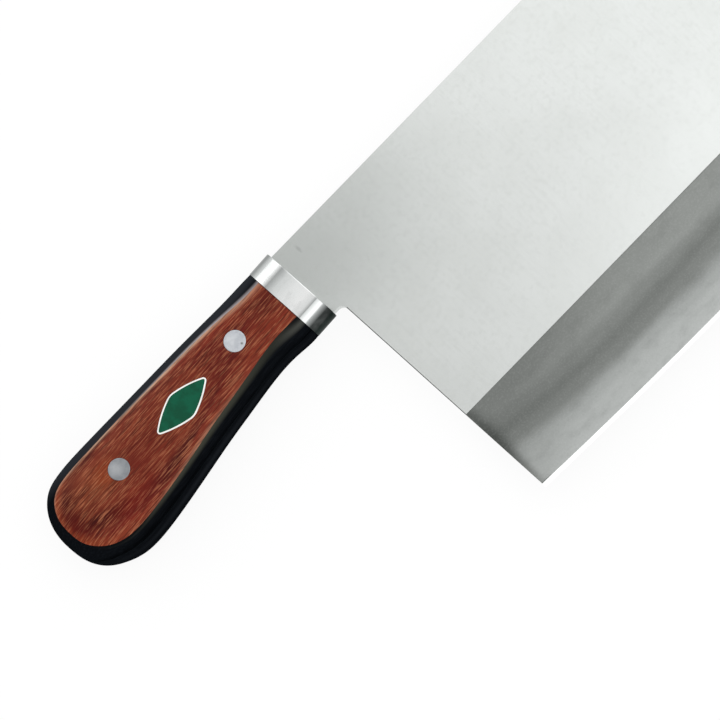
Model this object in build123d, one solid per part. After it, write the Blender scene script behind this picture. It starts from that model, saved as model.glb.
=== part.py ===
"""A Chinese cleaver of ten pieces, in millimetres.

A tall blade runs back through a short neck into a thinner, hidden tang. A steel ferrule caps the front
of the handle, which is a black laminated core between two red laminated faces, held to the tang by two
two-piece rivets. The knife lies flat: X runs from butt to tip, +Y points to the spine, +Z comes out of
the front face of the blade, and Z = 0 is what the handle rests on.
"""

import math
import os

from build123d import *

# Blade
blade_length = 220.0  # heel corner to tip
blade_height = 110.0  # spine to the lowest point of the edge
heel_height = 108.2  # spine to the heel corner
tip_height = 105.0  # spine to the front corner
blade_thickness = 2.2
belly_place_share = 0.36  # of the blade's length, where the edge is lowest
heel_slant = 2.1  # degrees that the heel leans forward towards the edge
heel_root_radius = 2.1
tip_spine_radius = 6.0
tip_edge_radius = 4.0
bevel_height = 34.0  # ground face above the lowest point of the edge
bevel_foot_thickness = 0.55  # steel left at the foot of the ground face
sharpened_height = 1.0
sharpened_land = 0.06  # steel left at the very edge
neck_length = 3.75  # ferrule to heel, at the handle's axis

# Tang, hidden in the handle
tang_end_setback = 15.3  # from the butt
tang_thickness = 2.0  # a little under the blade's, which leaves a shoulder at the ferrule
tang_front_width = 18.0
tang_end_width = 13.0
tang_end_radius = 5.0
tang_clearance = 0.15

# Ferrule, a drawn cap with a slot for the tang
ferrule_length = 8.0
ferrule_width = 26.9
ferrule_thickness = 17.5  # over the rounded section, before the flats are ground
ferrule_fullness = 3.0
ferrule_flat_depth = 0.456  # ground off each side at the handle's axis
ferrule_flat_slant = 2.3  # degrees that each flat leans in towards the edge of the blade
ferrule_wall = 1.0
ferrule_edge_radius = 0.25
spine_step = 1.05  # how far the ferrule stands proud of the spine
neck_step = 0.3  # how far it stands proud of the neck's foot
spigot_clearance = 0.1

# Handle
handle_length = 103.3  # ferrule's front to butt, along the handle's axis
handle_width = 34.4
handle_thickness = 20.4
handle_droop = 2.6  # degrees that the butt drops below the line of the spine
core_thickness = 16.0
wood_side_step = 0.4  # how far the wood lies inside the ferrule at its two sides
wood_face_step = 0.05  # how far the wood lies under the ferrule's rounded section

# Stations along the grip, each with its place as a share of the grip up to the butt's shoulder, the
# rise of its middle as a share of the handle's width, its swell in width and in thickness from the
# ferrule's size to the handle's full size, and the exponent of its rounded section.
grip_shares = (
    (0.000, 0.006, 0.00, 0.00, 3.0),
    (0.115, 0.020, -0.05, 0.02, 3.0),
    (0.255, 0.028, 0.01, 0.275, 3.0),
    (0.395, 0.024, 0.21, 0.51, 2.9),
    (0.535, 0.016, 0.40, 0.71, 2.8),
    (0.675, 0.003, 0.61, 0.88, 2.8),
    (0.815, -0.009, 0.82, 0.97, 2.8),
    (0.910, -0.015, 0.94, 1.00, 2.8),
    (1.000, -0.017, 1.00, 1.00, 2.8),
)
# Stations round the butt, each with the angle from the shoulder, in degrees, the rise of its middle as
# a share of the handle's width, and the exponent of its section.
butt_shares = (
    (20.0, -0.010, 2.8),
    (36.0, 0.001, 2.8),
    (50.0, -0.003, 2.7),
    (62.0, -0.010, 2.6),
    (72.0, -0.016, 2.5),
    (80.0, -0.019, 2.4),
)
butt_apex_share = -0.020
butt_length = 19.9  # shoulder to the very end
butt_plan_fullness = 2.4
butt_side_fullness = 3.2
half_section_points = 10
halvings = 40  # of the search for where a flat meets the rounded section

# Rivets, a stud pressed into a socket
rivet_head_diameter = 6.8
rivet_barrel_diameter = 4.6
rivet_stud_diameter = 3.0
rivet_head_sink = 1.0  # how deep the heads reach into the core
rivet_end_gap = 0.4
rivet_clearance = 0.02
rivet_barrel_clearance = 0.1
front_rivet_setback = 25.6  # from the ferrule's front
rear_rivet_setback = 27.1  # from the butt
rivet_rise = 1.35  # above the handle's axis

# Label, a thin film on the front face
label_length = 21.4
label_width = 9.84
label_thickness = 0.12
label_end_radius = 0.95
label_corner_radius = 5.0  # at the middle of its length
label_bow_radius = 33.0  # of its four bowed sides
label_lead = 0.8  # its middle, ahead of halfway between the rivets
label_turn = 2.0  # degrees from the handle's axis

overrun = 5.0  # what every cut runs past the steel or wood that it removes

# Sizes that follow from those above
spine_y = ferrule_width / 2 - spine_step
neck_foot_y = neck_step - ferrule_width / 2
heel_corner_y = spine_y - heel_height
edge_low_y = spine_y - blade_height
tip_corner_y = spine_y - tip_height
bevel_line_y = edge_low_y + bevel_height
heel_lean = math.tan(math.radians(heel_slant))
heel_corner_x = neck_length - heel_corner_y * heel_lean
heel_root_x = neck_length - neck_foot_y * heel_lean
tip_x = heel_corner_x + blade_length
belly_x = heel_corner_x + blade_length * belly_place_share
half_blade = blade_thickness / 2
core_face = core_thickness / 2
rivet_seat = core_face - rivet_head_sink
shoulder_place = handle_length - butt_length
tang_length = handle_length - tang_end_setback
rivet_places = {"front": front_rivet_setback, "rear": handle_length - rear_rivet_setback}
label_place = sum(rivet_places.values()) / 2 - label_lead


def power(value, exponent):
    """A power that keeps the value's sign."""
    return math.copysign(abs(value) ** exponent, value)


def rounded_section(x, middle_y, half_width, half_height, fullness):
    """A rounded section square to the handle's axis, fuller than an ellipse above an exponent of 2."""
    upper = []
    for step in range(half_section_points + 1):
        angle = math.pi * step / half_section_points
        y = middle_y + half_width * power(math.cos(angle), 2 / fullness)
        upper.append((x, y, half_height * math.sin(angle) ** (2 / fullness)))
    lower = [(x, y, -z) for x, y, z in upper]
    up = Vector(0, 0, 1)
    curves = (Spline(*upper, tangents=(up, -up)), Spline(*lower, tangents=(-up, up)))
    return make_face(curves)


def slab(length, width, low_z, high_z):
    """A block about the handle's axis, from the ferrule's front backwards, between two heights."""
    return Pos(-length / 2, 0, (low_z + high_z) / 2) * Box(length, width, high_z - low_z)


def on_handle(shape):
    """Turns what is made along the handle's axis to the droop of the handle."""
    return Rot(0, 0, handle_droop) * shape


def grip_sections():
    """The handle's sections from the ferrule to the end of the butt."""
    front_half = ferrule_width / 2 - wood_side_step
    front_rise = ferrule_thickness / 2 - wood_face_step
    sections = []
    for place, rise, swell, fill, fullness in grip_shares:
        x = -ferrule_length - (shoulder_place - ferrule_length) * place
        half_width = front_half + (handle_width / 2 - front_half) * swell
        half_height = front_rise + (handle_thickness / 2 - front_rise) * fill
        sections.append(rounded_section(x, handle_width * rise, half_width, half_height, fullness))
    for angle, rise, fullness in butt_shares:
        reach = math.sin(math.radians(angle))
        wide = (1 - reach**butt_plan_fullness) ** (1 / butt_plan_fullness)
        high = (1 - reach**butt_side_fullness) ** (1 / butt_side_fullness)
        x = -shoulder_place - butt_length * reach
        half_width = handle_width / 2 * wide
        half_height = handle_thickness / 2 * high
        sections.append(rounded_section(x, handle_width * rise, half_width, half_height, fullness))
    return sections


def handle_body():
    """The whole outside of the wood, before it is parted into core and faces."""
    apex = Vertex(-handle_length, handle_width * butt_apex_share, 0)
    return loft([*grip_sections(), apex])


def tang_outline(clearance):
    """The tang's plan along the handle's axis, grown by a clearance."""
    front = tang_front_width / 2 + clearance
    rear = tang_end_width / 2 + clearance
    end = -tang_length - clearance
    outline = Polyline((0, front), (0, -front), (end, -rear), (end, rear), close=True)
    corners = make_face(outline).vertices().sort_by(Axis.X)[:2]
    return fillet(corners, tang_end_radius + clearance)


def tang_solid(clearance):
    """The tang as a solid about the blade's middle plane, grown by a clearance."""
    return extrude(tang_outline(clearance), tang_thickness / 2 + clearance, both=True)


def edge_arc():
    """The cutting edge, one shallow arc from the heel corner to the front corner."""
    return ThreePointArc((heel_corner_x, heel_corner_y), (belly_x, edge_low_y), (tip_x, tip_corner_y))


def blade_plate():
    """The blade and its neck at full thickness, cut off square to the handle at the ferrule."""
    straight = Polyline(
        (tip_x, tip_corner_y),
        (tip_x, spine_y),
        (-overrun, spine_y),
        (-overrun, neck_foot_y),
        (heel_root_x, neck_foot_y),
        (heel_corner_x, heel_corner_y),
    )
    plate = extrude(make_face([straight, edge_arc()]), half_blade, both=True)
    for corner, radius in (
        ((tip_x, spine_y, 0), tip_spine_radius),
        ((tip_x, tip_corner_y, 0), tip_edge_radius),
        ((heel_root_x, neck_foot_y, 0), heel_root_radius),
    ):
        edge = plate.edges().filter_by(Axis.Z).sort_by_distance(corner)[0]
        plate = fillet(edge, radius)
    return plate - on_handle(slab(2 * overrun, 2 * ferrule_width, -blade_thickness, blade_thickness))


def bevel_cutter():
    """The steel ground away on the front to leave the wide flat bevel."""
    fall = (blade_thickness - bevel_foot_thickness) / 2 / bevel_height
    low_y = edge_low_y - overrun
    top_z = half_blade + overrun
    outline = Polyline(
        (0, bevel_line_y, half_blade),
        (0, low_y, half_blade - (bevel_line_y - low_y) * fall),
        (0, low_y, top_z),
        (0, bevel_line_y, top_z),
        close=True,
    )
    return extrude(make_face(outline), amount=tip_x + overrun, dir=(1, 0, 0))


def sharpening_cutter():
    """The steel taken off the front along the edge, turned about the centre of the edge's arc."""
    arc = edge_arc()
    centre = arc.arc_center
    radius = arc.radius
    land_z = sharpened_land / 2
    fall = (bevel_foot_thickness / 2 - land_z) / sharpened_height
    inner = radius - 2 * sharpened_height
    top_z = land_z + 2 * sharpened_height * fall
    outline = Polyline(
        (0, -radius, land_z),
        (0, -inner, top_z),
        (0, -inner, half_blade),
        (0, -radius - overrun, half_blade),
        (0, -radius - overrun, land_z),
        close=True,
    )
    half_turn = math.degrees((tip_x - heel_corner_x + overrun) / radius)
    section = Pos(centre.X, centre.Y, 0) * Rot(0, 0, -half_turn) * make_face(outline)
    return revolve(section, Axis((centre.X, centre.Y, 0), (0, 0, 1)), 2 * half_turn)


def blade():
    """Blade, neck and tang in one piece of steel, with the two rivet holes in the tang."""
    plate = blade_plate()
    for cutter in (bevel_cutter(), sharpening_cutter()):
        plate = plate - cutter - mirror(cutter, about=Plane.XY)
    steel = plate + on_handle(tang_solid(0))
    return steel - on_handle(rivet_holes(blade_thickness))


def ferrule_point(side, angle, inset):
    """A point of the ferrule's rounded section, on its spine side (1) or its edge side (-1)."""
    y = side * (ferrule_width / 2 - inset) * math.cos(angle) ** (2 / ferrule_fullness)
    return y, (ferrule_thickness / 2 - inset) * power(math.sin(angle), 2 / ferrule_fullness)


def ferrule_side(side, inset):
    """One rounded side of the ferrule's section, from the front flat round to the back one."""
    flat_z = ferrule_thickness / 2 - ferrule_flat_depth - inset
    slant = math.tan(math.radians(ferrule_flat_slant))
    low, high = 0, math.pi / 2
    for _ in range(halvings):
        middle = (low + high) / 2
        y, z = ferrule_point(side, middle, inset)
        if z < flat_z + y * slant:
            low = middle
        else:
            high = middle
    points = []
    for step in range(half_section_points + 1):
        angle = low * (1 - 2 * step / half_section_points)
        points.append((0, *ferrule_point(side, angle, inset)))
    return points


def ferrule_block(inset, length):
    """The ferrule's outer form, or its hollow when inset, from the front backwards."""
    spine_side = ferrule_side(1, inset)
    edge_side = ferrule_side(-1, inset)
    flats = (Line(spine_side[0], edge_side[0]), Line(spine_side[-1], edge_side[-1]))
    section = make_face([Spline(*spine_side), Spline(*edge_side), *flats])
    return extrude(section, amount=-length, dir=(1, 0, 0))


def ferrule():
    """The cap: its flats and rounded sides, its hollow, and the slot for the tang in its front wall."""
    outer = ferrule_block(0, ferrule_length)
    front_rim = outer.faces().sort_by(Axis.X)[-1].edges()
    outer = fillet(front_rim, ferrule_edge_radius)
    hollow = Pos(-ferrule_wall, 0, 0) * ferrule_block(ferrule_wall, ferrule_length)
    return on_handle(outer - hollow - tang_solid(tang_clearance))


def spigot():
    """The front of the core, turned down to fit inside the ferrule."""
    block = ferrule_block(ferrule_wall + spigot_clearance, ferrule_length)
    front = slab(ferrule_wall + spigot_clearance, ferrule_width, -core_thickness, core_thickness)
    return block - front


def rivet_post(place, diameter, low_z, high_z):
    """An upright cylinder at a rivet's place on the handle's axis."""
    post = Cylinder(diameter / 2, high_z - low_z)
    return Pos(-place, rivet_rise, (low_z + high_z) / 2) * post


def rivet_holes(reach):
    """The holes for the rivets' barrels, a reach each way from the handle's middle plane."""
    diameter = rivet_barrel_diameter + 2 * rivet_barrel_clearance
    posts = [rivet_post(place, diameter, -reach, reach) for place in rivet_places.values()]
    return Part() + posts


def head_pockets():
    """The pockets for the rivets' heads, open to both faces of the handle."""
    diameter = rivet_head_diameter + 2 * rivet_clearance
    pockets = []
    for place in rivet_places.values():
        pockets.append(rivet_post(place, diameter, rivet_seat, handle_thickness))
        pockets.append(rivet_post(place, diameter, -handle_thickness, -rivet_seat))
    return Part() + pockets


def wood_pieces(body, front):
    """The core with its spigot and tang slot, and the two faces."""
    core = split(body, bisect_by=Plane.XY.offset(core_face), keep=Keep.BOTTOM)
    core = split(core, bisect_by=Plane.XY.offset(-core_face), keep=Keep.TOP) + spigot()
    pockets = head_pockets()
    face = front - pockets
    return {
        "handle_core": on_handle(core - tang_solid(tang_clearance) - rivet_holes(core_face) - pockets),
        "front_face_wood": on_handle(face),
        "back_face_wood": on_handle(mirror(face, about=Plane.XY)),
    }


def rivet_pieces(name, place, front):
    """A rivet's socket, with its head on the front, and its stud, with its head on the back."""
    sunk = rivet_post(place, rivet_head_diameter, rivet_seat, core_face)
    front_head = sunk + (rivet_post(place, rivet_head_diameter, core_face, handle_thickness) & front)
    back_head = mirror(front_head, about=Plane.XY)
    barrel = rivet_post(place, rivet_barrel_diameter, rivet_end_gap - rivet_seat, rivet_seat)
    bore_top = rivet_seat - rivet_end_gap
    bore = rivet_post(place, rivet_stud_diameter + 2 * rivet_clearance, -handle_thickness, bore_top)
    stud = rivet_post(place, rivet_stud_diameter, -rivet_seat, bore_top - rivet_end_gap)
    return {
        f"{name}_rivet_socket": on_handle(front_head + barrel - bore),
        f"{name}_rivet_stud": on_handle(back_head + stud),
    }


def label_outline():
    """A lozenge of four bowed sides that run tangent into small end arcs and wider corner arcs."""
    end_centre = label_length / 2 - label_end_radius
    corner_centre = label_width / 2 - label_corner_radius
    to_end = label_bow_radius - label_end_radius
    to_corner = label_bow_radius - label_corner_radius
    apart = math.hypot(end_centre, corner_centre)
    along = (to_end**2 - to_corner**2 + apart**2) / (2 * apart)
    across = math.sqrt(to_end**2 - along**2)
    lean = math.atan2(corner_centre, -end_centre)
    bow_x = end_centre + along * math.cos(lean) - across * math.sin(lean)
    bow_y = along * math.sin(lean) + across * math.cos(lean)
    end_angle = math.atan2(-bow_y, end_centre - bow_x)
    corner_angle = math.atan2(corner_centre - bow_y, -bow_x)
    points = []
    for angle in (end_angle, (end_angle + corner_angle) / 2, corner_angle):
        x = bow_x + label_bow_radius * math.cos(angle)
        points.append((x, bow_y + label_bow_radius * math.sin(angle)))
    curves = []
    for sign in (1, -1):
        for turn in (1, -1):
            curves.append(ThreePointArc(*[(sign * x, turn * y) for x, y in points]))
        end_x, end_y = points[0]
        side_x, side_y = points[-1]
        tip = (sign * label_length / 2, 0)
        corner = (0, sign * label_width / 2)
        curves.append(ThreePointArc((sign * end_x, -end_y), tip, (sign * end_x, end_y)))
        curves.append(ThreePointArc((-side_x, sign * side_y), corner, (side_x, sign * side_y)))
    return make_face(curves)


def label(front):
    """The lozenge film that follows the crown of the front face."""
    lozenge = label_outline()
    column = extrude(Rot(0, 0, label_turn) * lozenge, handle_thickness - core_face)
    column = Pos(-label_place, 0, core_face + label_thickness) * column
    film = column & (Pos(0, 0, label_thickness) * front)
    return on_handle(film - front)


def all_pieces():
    """Every piece by its name, with the ferrule's front at the origin."""
    body = handle_body()
    front = split(body, bisect_by=Plane.XY.offset(core_face), keep=Keep.TOP)
    pieces = {"blade": blade(), "ferrule": ferrule(), "label": label(front)}
    pieces.update(wood_pieces(body, front))
    for name, place in rivet_places.items():
        pieces.update(rivet_pieces(name, place, front))
    return pieces


def main():
    """Sets the knife on Z = 0 about the middle of its outline and writes each piece."""
    pieces = all_pieces()
    box = Compound(list(pieces.values())).bounding_box()
    seat = Pos(-box.center().X, -box.center().Y, -box.min.Z)
    os.makedirs("parts", exist_ok=True)
    for name, shape in pieces.items():
        export_step(seat * shape, f"parts/{name}.step")


main()
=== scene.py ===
"""The looks of a Chinese cleaver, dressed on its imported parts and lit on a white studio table.

Everything is in metres in the part's own frame: X from butt to tip, +Y to the spine, +Z out of the
blade's front face. Sizes in the knife's classes are in millimetres, and MM turns them into metres.
The studio's are in metres.
"""

import logging
import math
from dataclasses import dataclass
from enum import Enum
from functools import cached_property

import bmesh
import bpy
from mathutils import Matrix, Vector
from mathutils.bvhtree import BVHTree


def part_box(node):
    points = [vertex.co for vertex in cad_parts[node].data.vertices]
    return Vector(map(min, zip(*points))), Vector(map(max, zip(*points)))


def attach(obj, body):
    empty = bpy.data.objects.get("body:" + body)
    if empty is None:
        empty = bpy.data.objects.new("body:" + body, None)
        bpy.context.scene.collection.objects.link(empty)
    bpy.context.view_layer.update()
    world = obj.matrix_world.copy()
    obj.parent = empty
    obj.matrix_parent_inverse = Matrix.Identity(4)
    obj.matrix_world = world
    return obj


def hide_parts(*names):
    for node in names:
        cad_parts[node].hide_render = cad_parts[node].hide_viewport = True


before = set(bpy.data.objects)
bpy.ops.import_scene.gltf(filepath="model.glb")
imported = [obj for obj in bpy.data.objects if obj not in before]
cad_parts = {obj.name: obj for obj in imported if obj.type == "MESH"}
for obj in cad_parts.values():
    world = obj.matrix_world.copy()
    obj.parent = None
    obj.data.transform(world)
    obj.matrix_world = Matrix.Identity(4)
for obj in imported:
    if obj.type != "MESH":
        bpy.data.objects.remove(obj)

MM = 0.001
log = logging.getLogger("cleaver")

Node = bpy.types.Node
Socket = bpy.types.NodeSocket
Tree = bpy.types.NodeTree
Plan = tuple[tuple[float, str], ...]
Triple = tuple[float, float, float]
Fed = dict[str, Node | str]


# Shared helpers


class Kind(Enum):
    """The kinds of node that the finishes, the rivets and the studio are wired from."""

    BACKGROUND = "ShaderNodeBackground"
    BUMP = "ShaderNodeBump"
    COORDINATES = "ShaderNodeTexCoord"
    CYLINDER = "GeometryNodeMeshCylinder"
    DIFFUSE = "ShaderNodeBsdfDiffuse"
    EMISSION = "ShaderNodeEmission"
    GIVEN = "NodeGroupInput"
    INSTANCES = "GeometryNodeInstanceOnPoints"
    JOIN = "ShaderNodeCombineXYZ"
    JOIN_MESHES = "GeometryNodeJoinGeometry"
    LIGHT_PATH = "ShaderNodeLightPath"
    MADE = "NodeGroupOutput"
    MAPPING = "ShaderNodeMapping"
    MATERIAL_OUTPUT = "ShaderNodeOutputMaterial"
    MATH = "ShaderNodeMath"
    MIX = "ShaderNodeMix"
    MIX_SHADERS = "ShaderNodeMixShader"
    NOISE = "ShaderNodeTexNoise"
    OBJECT = "GeometryNodeObjectInfo"
    POINTS = "GeometryNodePoints"
    POSITION = "GeometryNodeInputPosition"
    PRINCIPLED = "ShaderNodeBsdfPrincipled"
    RAMP = "ShaderNodeValToRGB"
    RANGE = "ShaderNodeMapRange"
    RAYCAST = "GeometryNodeRaycast"
    REALIZE = "GeometryNodeRealizeInstances"
    SET_MATERIAL = "GeometryNodeSetMaterial"
    SET_POSITION = "GeometryNodeSetPosition"
    SPLIT = "ShaderNodeSeparateXYZ"
    TRANSFORM = "GeometryNodeTransform"
    VECTOR = "ShaderNodeVectorMath"
    WORLD_OUTPUT = "ShaderNodeOutputWorld"


def linear(code: str) -> tuple[float, float, float, float]:
    """Turns an sRGB hex colour into linear light.

    Args:
        code: Six hex digits after a hash.

    Returns:
        Red, green, blue and an alpha of one.
    """
    shares = [int(code[i : i + 2], 16) / 255 for i in (1, 3, 5)]
    return (*[c / 12.92 if c <= 0.04045 else ((c + 0.055) / 1.055) ** 2.4 for c in shares], 1.0)


def feed(tree: Tree, node: Node, inputs: dict[int | str, object]) -> None:
    """Sets or links a node's inputs.

    Args:
        tree: The node's tree.
        node: The node that is fed.
        inputs: By input name or number, a value, a hex colour, or a socket or node to link from.
    """
    for key, value in inputs.items():
        if isinstance(value, Node):
            value = next(output for output in value.outputs if output.enabled)
        if isinstance(value, Socket):
            tree.links.new(value, node.inputs[key])
        else:
            node.inputs[key].default_value = linear(value) if isinstance(value, str) else value


def add(
    tree: Tree, kind: Kind, inputs: dict | None = None, stops: Plan = (), **settings: object
) -> Node:
    """Adds one node to a tree, with its settings and links.

    Args:
        tree: A shader or geometry tree.
        kind: The kind of node.
        inputs: What feed() takes.
        stops: A ramp's places from 0 to 1, each with its hex colour.
        settings: The node's own properties.

    Returns:
        The new node.
    """
    node = tree.nodes.new(kind.value)
    for name, value in settings.items():
        setattr(node, name, value)
    for number, (place, code) in enumerate(stops):
        marks = node.color_ramp.elements
        mark = marks[number] if number < len(marks) else marks.new(1.0)
        mark.position, mark.color = place, linear(code)
    feed(tree, node, inputs or {})
    return node


def empty_tree(owner: bpy.types.Material | bpy.types.World) -> Tree:
    """Switches nodes on and empties their tree.

    Args:
        owner: The material or world.

    Returns:
        Its tree.
    """
    owner.use_nodes = True
    owner.node_tree.nodes.clear()
    return owner.node_tree


def new_object(name: str, data: bpy.types.ID) -> bpy.types.Object:
    """Puts an object into the scene, at the origin.

    Args:
        name: The object's name.
        data: Its mesh, lamp or camera.

    Returns:
        The object.
    """
    thing = bpy.data.objects.new(name, data)
    bpy.context.scene.collection.objects.link(thing)
    return thing


def settle(thing: bpy.types.Object) -> None:
    """Turns an object's modifiers into a plain mesh.

    Args:
        thing: The object, which keeps its name and loses its modifiers.
    """
    bpy.context.view_layer.update()
    seen = thing.evaluated_get(bpy.context.evaluated_depsgraph_get())
    mesh = bpy.data.meshes.new_from_object(seen)
    mesh.name = thing.name
    thing.modifiers.clear()
    thing.data = mesh


# The two sets of axes


@dataclass(frozen=True)
class Axes:
    """A set of axes in millimetres: where its origin lies in the frame, and its turn about Z."""

    origin: Triple
    turn: float = 0.0

    def matrix(self) -> Matrix:
        """The matrix from these axes' millimetres to the frame's metres."""
        turned = Matrix.Translation(self.origin) @ Matrix.Rotation(math.radians(self.turn), 4, "Z")
        return Matrix.Scale(MM, 4) @ turned

    def where(self, tree: Tree) -> Node:
        """Adds object coordinates in millimetres along these axes, alike on front and back.

        Args:
            tree: The shader tree.

        Returns:
            The node of the vector, whose Z is never negative.
        """
        settings = {
            "Vector": add(tree, Kind.COORDINATES).outputs["Object"],
            "Location": self.matrix().inverted().to_translation(),
            "Rotation": (0, 0, -math.radians(self.turn)),
            "Scale": (1 / MM, 1 / MM, 1 / MM),
        }
        parts = add(tree, Kind.SPLIT, {0: add(tree, Kind.MAPPING, settings)}).outputs
        depth = add(tree, Kind.MATH, {0: parts[2]}, operation="ABSOLUTE")
        return add(tree, Kind.JOIN, {0: parts[0], 1: parts[1], 2: depth})


HANDLE = Axes((-62.026, 42.089, 10.216), 2.6)
BLADE = Axes((0.0, 0.0, 10.216))


# What the finishes are painted with


@dataclass(frozen=True)
class Noise:
    """Noise in blots of a real size: none up to its low value, and full from its high one on."""

    size: Triple
    low: float = 0.2
    high: float = 0.8
    strength: float = 1.0
    detail: float = 2.0

    def share(self, tree: Tree, where: Node) -> Node:
        """Adds the blots as a number.

        Args:
            tree: The shader tree.
            where: Coordinates in millimetres.

        Returns:
            The node of the number: 0 off the blots, and their strength on them.
        """
        scale = tuple(1 / side for side in self.size)
        cells = add(tree, Kind.MAPPING, {"Vector": where, "Scale": scale})
        inputs = {"Vector": cells, "Scale": 1.0, "Detail": self.detail, "Roughness": 0.6}
        limits = {0: add(tree, Kind.NOISE, inputs), 1: self.low, 2: self.high, 4: self.strength}
        return add(tree, Kind.RANGE, limits, interpolation_type="SMOOTHSTEP")


@dataclass(frozen=True)
class Coat:
    """A second colour laid over a ground in places of a real size."""

    colour: str
    size: Triple
    strength: float = 1.0

    def share(self, tree: Tree, where: Node) -> Node:
        """Adds the coat's cover as a number, from 0 to its strength."""
        raise NotImplementedError

    def over(self, tree: Tree, where: Node, ground: Node | str) -> Node:
        """Lays the coat over a ground, a node or a hex colour."""
        shares = {0: self.share(tree, where), 6: ground, 7: self.colour}
        return add(tree, Kind.MIX, shares, data_type="RGBA")


@dataclass(frozen=True)
class Grain(Coat):
    """Blots of noise, long and thin where their size is."""

    low: float = 0.35
    high: float = 0.65
    detail: float = 2.0

    def share(self, tree: Tree, where: Node) -> Node:
        """Adds the blots."""
        noise = Noise(self.size, self.low, self.high, self.strength, self.detail)
        return noise.share(tree, where)


@dataclass(frozen=True)
class Patch(Coat):
    """One soft ellipsoid: full up to the core's share of its half sizes, and gone at its rim."""

    centre: Triple = (0.0, 0.0, 0.0)
    core: float = 0.0

    def share(self, tree: Tree, where: Node) -> Node:
        """Adds the ellipsoid, by the distance from its centre.

        Args:
            tree: The shader tree.
            where: Coordinates in millimetres.

        Returns:
            The node of the cover.
        """
        scale = tuple(1 / side for side in self.size)
        cells = add(tree, Kind.VECTOR, {0: where, 1: scale}, operation="MULTIPLY")
        centre = tuple(place * share for place, share in zip(self.centre, scale))
        away = add(tree, Kind.VECTOR, {0: cells, 1: centre}, operation="DISTANCE")
        limits = {0: away, 1: 1.0, 2: self.core, 4: self.strength}
        return add(tree, Kind.RANGE, limits, interpolation_type="SMOOTHSTEP")


@dataclass(frozen=True)
class Relief:
    """Fine unevenness: noise of a size and depth in millimetres, and how much of it shows."""

    size: Triple
    depth: float
    strength: float

    def normal(self, tree: Tree, where: Node) -> Node:
        """Adds the bump, from noise in the relief's size."""
        inputs = {"Strength": self.strength, "Distance": self.depth * MM}
        return add(tree, Kind.BUMP, {**inputs, "Height": Noise(self.size).share(tree, where)})


def along(tree: Tree, value: Node | Socket, plan: Plan, ease: bool = False) -> Node:
    """Adds colours along one measure.

    Args:
        tree: The shader tree.
        value: The measure, in millimetres.
        plan: Places in millimetres in rising order, each with its hex colour.
        ease: Whether the colours ease into each other.

    Returns:
        The node of the colour.
    """
    low, high = plan[0][0], plan[-1][0]
    place = add(tree, Kind.RANGE, {0: value, 1: low, 2: high})
    stops = tuple(((at - low) / (high - low), code) for at, code in plan)
    node = add(tree, Kind.RAMP, {0: place}, stops)
    node.color_ramp.interpolation = "EASE" if ease else "LINEAR"
    return node


# Finishes


@dataclass(frozen=True)
class Finish:
    """What every finish has: a name, a gloss, axes, a ground colour, coats over it and a relief."""

    name: str = "bare"
    metallic: float = 0.0
    roughness: float = 0.5
    gloss: float = 0.5
    axes: Axes = HANDLE
    colour: str = "#808080"
    coats: tuple[Coat, ...] = ()
    relief: Relief | None = None

    def material(self) -> bpy.types.Material:
        """Makes the finish's material.

        Returns:
            The material.
        """
        material = bpy.data.materials.new(self.name)
        tree = empty_tree(material)
        constants = {
            "Metallic": self.metallic,
            "Roughness": self.roughness,
            "Specular IOR Level": self.gloss,
        }
        shader = add(tree, Kind.PRINCIPLED, constants)
        add(tree, Kind.MATERIAL_OUTPUT, {0: shader})
        feed(tree, shader, self.inputs(tree, self.axes.where(tree)))
        return material

    def inputs(self, tree: Tree, where: Node) -> Fed:
        """What the shader is fed with beside its constants.

        Args:
            tree: The shader tree.
            where: Coordinates in millimetres along the finish's axes.

        Returns:
            Nodes by the name of the shader's input.
        """
        colour = self.ground(tree, where)
        for coat in self.layers():
            colour = coat.over(tree, where, colour)
        fed = {"Base Color": colour}
        if self.relief:
            fed["Normal"] = self.relief.normal(tree, where)
        return fed

    def ground(self, tree: Tree, where: Node) -> Node | str:
        """The colour under the coats, which is one tone unless a finish adds its own nodes."""
        return self.colour

    def layers(self) -> tuple[Coat, ...]:
        """The coats over the ground, the first one lowest."""
        return self.coats


@dataclass(frozen=True)
class SatinSteel(Finish):
    """Stainless steel, machine polished: an even satin sheen, with painted reflection lighter across
    the middle of its lower half and painted shade greyer at the spine by the handle.
    """

    name: str = "polished_stainless_steel"
    metallic: float = 1.0
    roughness: float = 0.24
    axes: Axes = BLADE
    colour: str = "#dbdedc"
    coats: tuple[Coat, ...] = (
        Grain("#d2d5d2", (24.0, 24.0, 24.0), 0.4),
        Grain("#ced1ce", (1.6, 1.6, 1.6), 0.35, 0.45, 0.75),
        Grain("#cfd2d0", (0.5, 40.0, 4.0), 0.15, 0.45, 0.7, 1.0),
        # Painted reflection: a lighter stretch across the middle of the blade's lower half.
        Patch("#f4f7f5", (110.0, 42.0, 60.0), 0.36, (36.0, -26.0, 0.0)),
        # Painted shade: greyer at the spine by the handle.
        Patch("#a5a9a6", (75.0, 48.0, 60.0), 0.53, (-60.0, 50.0, 0.0)),
        Patch("#7f8381", (0.8, 2.2, 9.0), 0.3, (-55.2, 50.3, 0.0)),
    )
    relief: Relief | None = Relief((0.5, 40.0, 4.0), 0.02, 0.015)


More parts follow.
